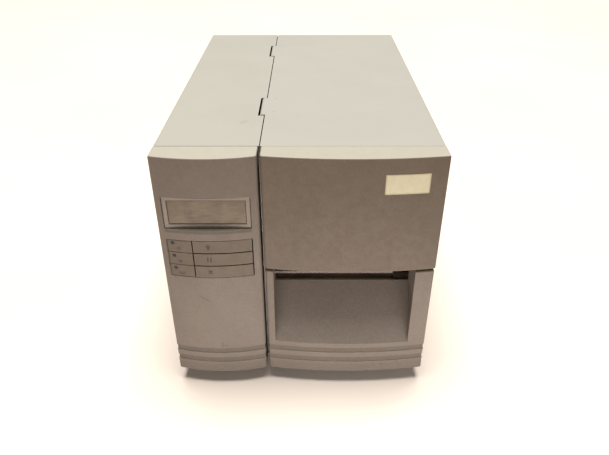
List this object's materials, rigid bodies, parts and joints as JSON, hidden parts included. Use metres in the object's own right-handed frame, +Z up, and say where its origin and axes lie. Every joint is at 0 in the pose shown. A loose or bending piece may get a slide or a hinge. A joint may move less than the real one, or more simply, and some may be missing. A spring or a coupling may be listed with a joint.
{
  "type": "thermal label printer",
  "caption": "Desktop thermal transfer label printer: folded steel case, bowed plastic front, side-hinged media cover, label exit with chute, geared platen, ribbon spindles and print head.",
  "frame": {"origin": "on the table under the middle of the box around the printer", "axes": "+X to the printer's right, +Y to its back, +Z up; the front faces -Y"},
  "size_m": [0.25, 0.4122, 0.257],
  "materials": {
    "painted_sheet": "fine textured powder coat, warm light grey",
    "case_plastic": "fine spark texture, warm grey, a little yellowed",
    "key_plastic": "fine texture, warm grey",
    "badge_metal": "brushed, bronze tone",
    "lens_plastic": "smoked clear plastic",
    "zinc_steel": "zinc plated sheet",
    "bright_steel": "ground shafting",
    "black_rubber": "matte",
    "platen_rubber": "ground smooth",
    "gear_plastic": "moulded acetal",
    "spindle_plastic": "moulded, dark grey",
    "lever_plastic": "moulded, blue green",
    "guide_plastic": "moulded, dark grey",
    "bare_aluminium": "extruded",
    "head_ceramic": "smooth",
    "circuit_board": "solder resist",
    "socket_plastic": "moulded, black",
    "motor_steel": "black",
    "spring_steel": "drawn wire",
    "bronze": "sintered"
  },
  "bodies": {
    "chassis": {"base_tray": "zinc_steel", "rubber_feet": "black_rubber", "centre_wall": "zinc_steel", "rear_panel": "painted_sheet", "rear_screws": "bright_steel", "left_cover": "painted_sheet", "left_front_panel": "case_plastic", "lower_front_panel": "case_plastic", "name_badge": "badge_metal", "indicator_panel": "key_plastic", "indicator_lenses": "lens_plastic", "panel_board": "circuit_board", "key_pivot_rod": "bright_steel", "hinge_brackets": "zinc_steel", "hinge_pins": "bright_steel", "outboard_plate": "zinc_steel", "cross_rods": "bright_steel", "tear_bar": "zinc_steel", "platen_bushes": "bronze", "idler_shaft": "bright_steel", "motor_bracket": "zinc_steel", "pillars": "bright_steel", "stepper_motor": "motor_steel", "drive_belt": "black_rubber", "spindle_bushes": "bronze", "head_pivot_shaft": "bright_steel", "media_path_plate": "zinc_steel", "media_hanger": "guide_plastic", "main_board": "circuit_board", "power_supply": "zinc_steel", "power_inlet": "socket_plastic", "rocker_frame": "socket_plastic", "serial_port": "zinc_steel", "parallel_port": "zinc_steel"},
    "cover": {"media_cover": "painted_sheet", "cover_front_bezel": "case_plastic"},
    "lever": {"lever_shaft": "bright_steel", "head_lever": "lever_plastic"},
    "head": {"head_bracket": "zinc_steel", "head_heat_sink": "bare_aluminium", "thermal_head": "head_ceramic"},
    "platen": {"platen_shaft": "bright_steel", "platen_rubber": "platen_rubber", "platen_gear": "gear_plastic"},
    "idler": {"idler_gear": "gear_plastic"},
    "motor_rotor": {"motor_pinion": "bronze"},
    "rewind": {"rewind_spindle": "spindle_plastic", "rewind_pulley": "gear_plastic"},
    "supply": {"supply_spindle": "spindle_plastic", "brake_spring": "spring_steel", "brake_nut": "gear_plastic"},
    "free_roller": {"guide_roller": "spindle_plastic"},
    "roll_stop": {"roll_guide": "guide_plastic"},
    "label_fence": {"media_edge_guide": "guide_plastic"},
    "label_sensor": {"gap_sensor": "socket_plastic"},
    "rocker": {"power_rocker": "socket_plastic"},
    "feed": {"feed_key": "key_plastic"},
    "pause": {"pause_key": "key_plastic"},
    "cancel": {"cancel_key": "key_plastic"}
  },
  "joints": [
    {"name": "cover_hinge", "type": "hinge", "parent": "chassis", "child": "cover", "pos_m": [-0.0364, 0, 0.2546], "axis": [0, -1, 0], "range_deg": [0, 95]},
    {"name": "lever_turn", "type": "hinge", "parent": "chassis", "child": "lever", "pos_m": [0.0998, -0.1369, 0.16087], "axis": [-1, 0, 0], "range_deg": [0, 80]},
    {"name": "head_lift", "type": "hinge", "parent": "chassis", "child": "head", "pos_m": [0.0288, -0.0919, 0.152], "axis": [-1, 0, 0], "range_deg": [0, 6.01]},
    {"name": "motor_spin", "type": "hinge", "parent": "chassis", "child": "motor_rotor", "pos_m": [-0.0646, -0.09965, 0.07732], "axis": [1, 0, 0], "continuous": true},
    {"name": "idler_spin", "type": "hinge", "parent": "chassis", "child": "idler", "pos_m": [-0.0466, -0.12462, 0.09828], "axis": [1, 0, 0], "continuous": true},
    {"name": "platen_spin", "type": "hinge", "parent": "chassis", "child": "platen", "pos_m": [0.0288, -0.1519, 0.111], "axis": [1, 0, 0], "continuous": true},
    {"name": "rewind_spin", "type": "hinge", "parent": "chassis", "child": "rewind", "pos_m": [0.0288, -0.1259, 0.214], "axis": [1, 0, 0], "continuous": true},
    {"name": "supply_spin", "type": "hinge", "parent": "chassis", "child": "supply", "pos_m": [0.0288, -0.0419, 0.196], "axis": [1, 0, 0], "continuous": true},
    {"name": "roller_spin", "type": "hinge", "parent": "chassis", "child": "free_roller", "pos_m": [0.0288, -0.0569, 0.111], "axis": [1, 0, 0], "continuous": true},
    {"name": "roll_guide_slide", "type": "slide", "parent": "chassis", "child": "roll_stop", "axis": [1, 0, 0], "range_m": [-0.085, 0]},
    {"name": "edge_guide_slide", "type": "slide", "parent": "chassis", "child": "label_fence", "axis": [1, 0, 0], "range_m": [-0.07, 0]},
    {"name": "sensor_slide", "type": "slide", "parent": "chassis", "child": "label_sensor", "axis": [1, 0, 0], "range_m": [-0.04, 0.04]},
    {"name": "rocker_tilt", "type": "hinge", "parent": "chassis", "child": "rocker", "pos_m": [-0.069, 0.1943, 0.046], "axis": [1, 0, 0], "range_deg": [0, 16]},
    {"name": "cancel_press", "type": "hinge", "parent": "chassis", "child": "cancel", "pos_m": [-0.0953, -0.1941, 0.14311], "axis": [0, 0, 1], "range_deg": [0, 1.4], "stiffness_Nm_per_rad": 0.4, "springref_deg": -0.57},
    {"name": "pause_press", "type": "hinge", "parent": "chassis", "child": "pause", "pos_m": [-0.0953, -0.1941, 0.15674], "axis": [0, 0, 1], "range_deg": [0, 1.4], "stiffness_Nm_per_rad": 0.4, "springref_deg": -0.57},
    {"name": "feed_press", "type": "hinge", "parent": "chassis", "child": "feed", "pos_m": [-0.0953, -0.1941, 0.17037], "axis": [0, 0, 1], "range_deg": [0, 1.4], "stiffness_Nm_per_rad": 0.4, "springref_deg": -0.57}
  ],
  "couplings": [
    {"joint": "head_lift", "follows": "lever_turn", "ratio": 0.075},
    {"joint": "idler_spin", "follows": "motor_spin", "ratio": -0.3},
    {"joint": "platen_spin", "follows": "motor_spin", "ratio": 0.15},
    {"joint": "rewind_spin", "follows": "motor_spin", "ratio": -0.12}
  ]
}
